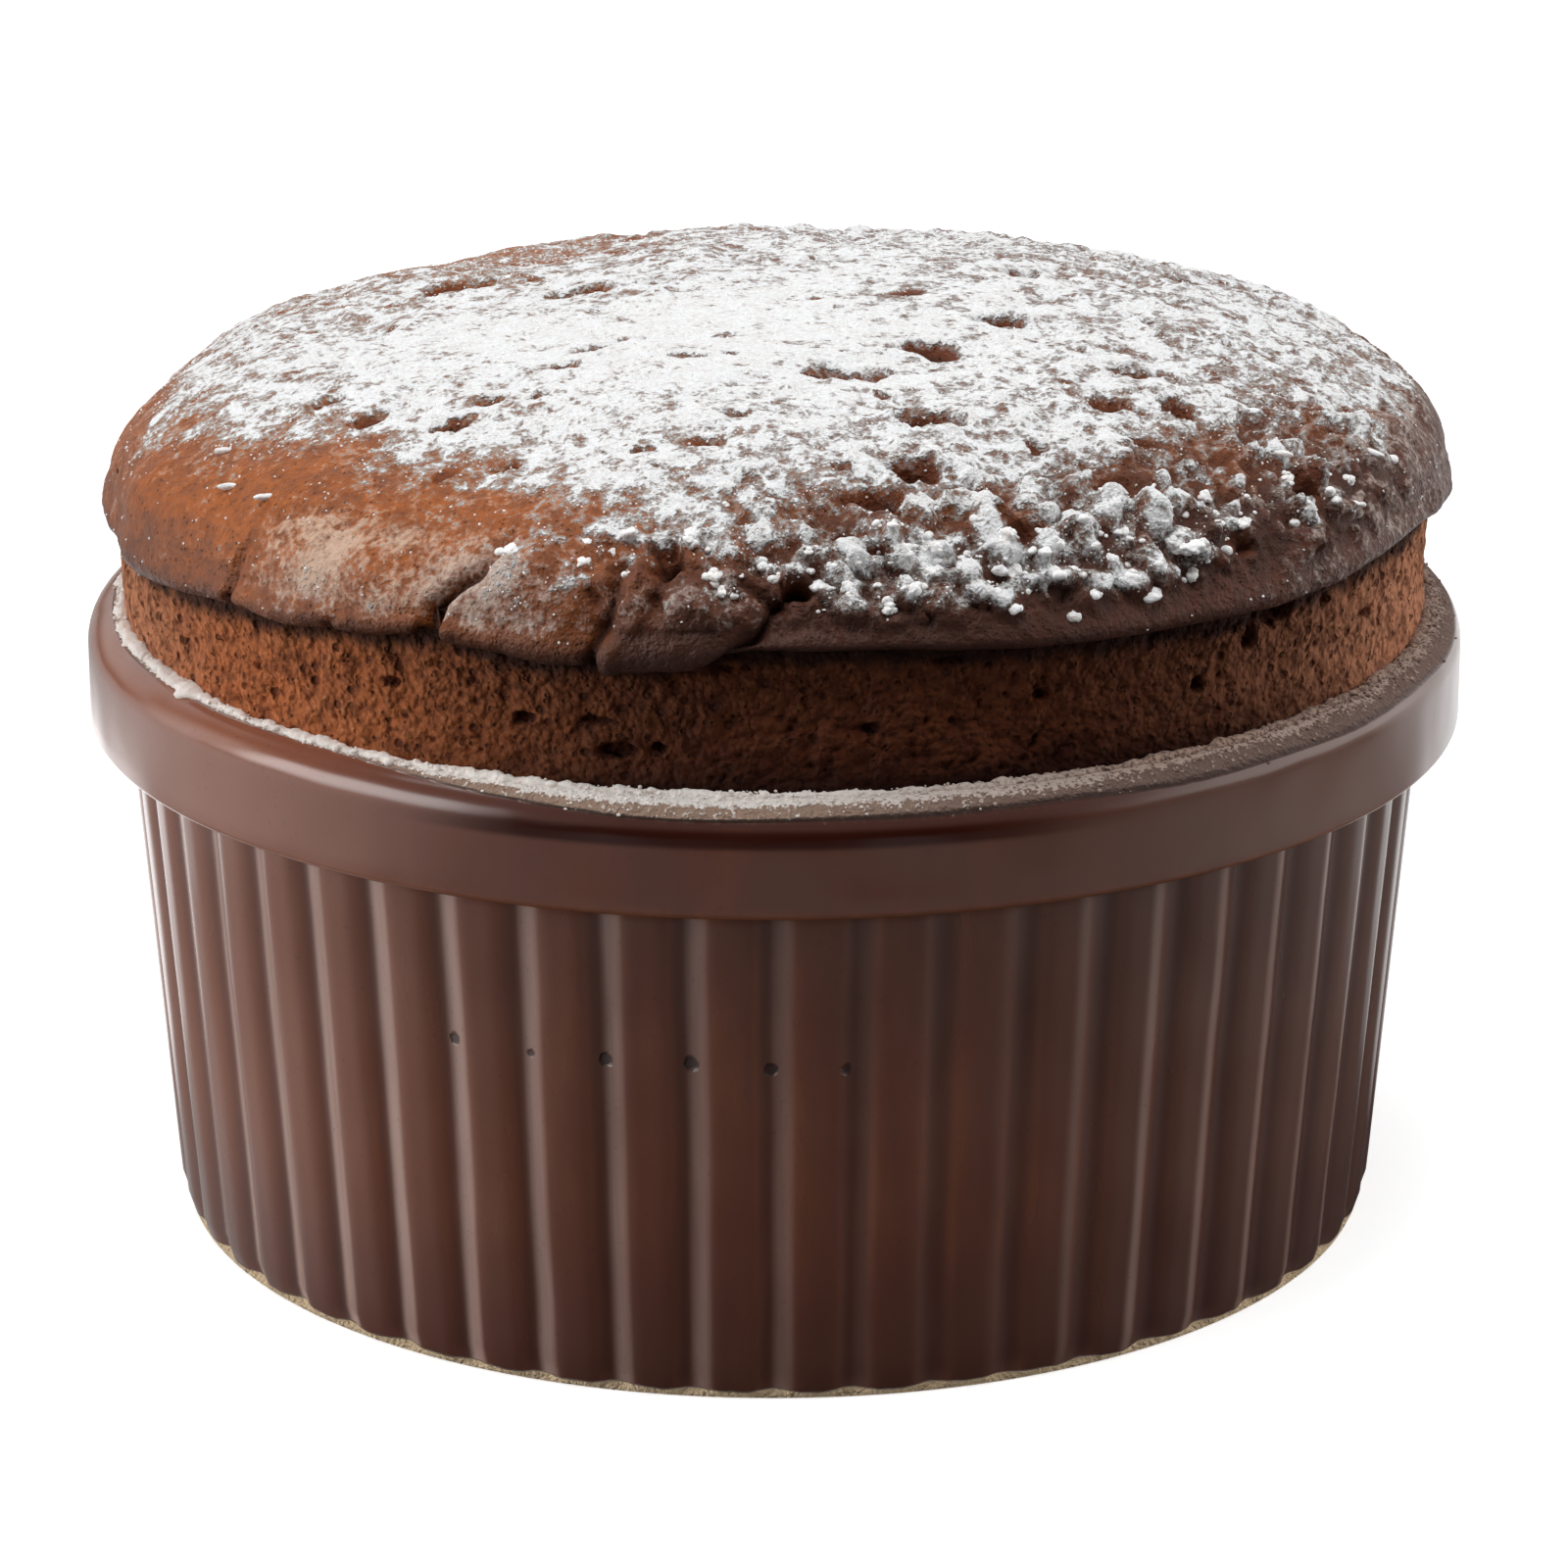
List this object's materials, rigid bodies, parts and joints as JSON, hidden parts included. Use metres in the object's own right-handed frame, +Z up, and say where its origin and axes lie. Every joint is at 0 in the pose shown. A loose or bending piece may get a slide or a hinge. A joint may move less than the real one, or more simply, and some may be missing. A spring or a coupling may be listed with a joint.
{
  "type": "chocolate souffle in a fluted ramekin",
  "caption": "Baked chocolate souffle risen above a round fluted stoneware ramekin, with an overhanging crust cap dusted with sugar.",
  "frame": {"origin": "centre of the foot ring's underside, where the dish stands on a surface", "axes": "+Z up along the dish's axis, -Y towards the front, where the crust's main crease is, +X to the right seen from the front"},
  "size_m": [0.1, 0.1, 0.0678],
  "materials": {
    "ramekin_glaze": "gloss",
    "souffle_crust": "matte"
  },
  "bodies": {
    "root": {"ramekin": "ramekin_glaze", "souffle": "souffle_crust"}
  },
  "joints": []
}
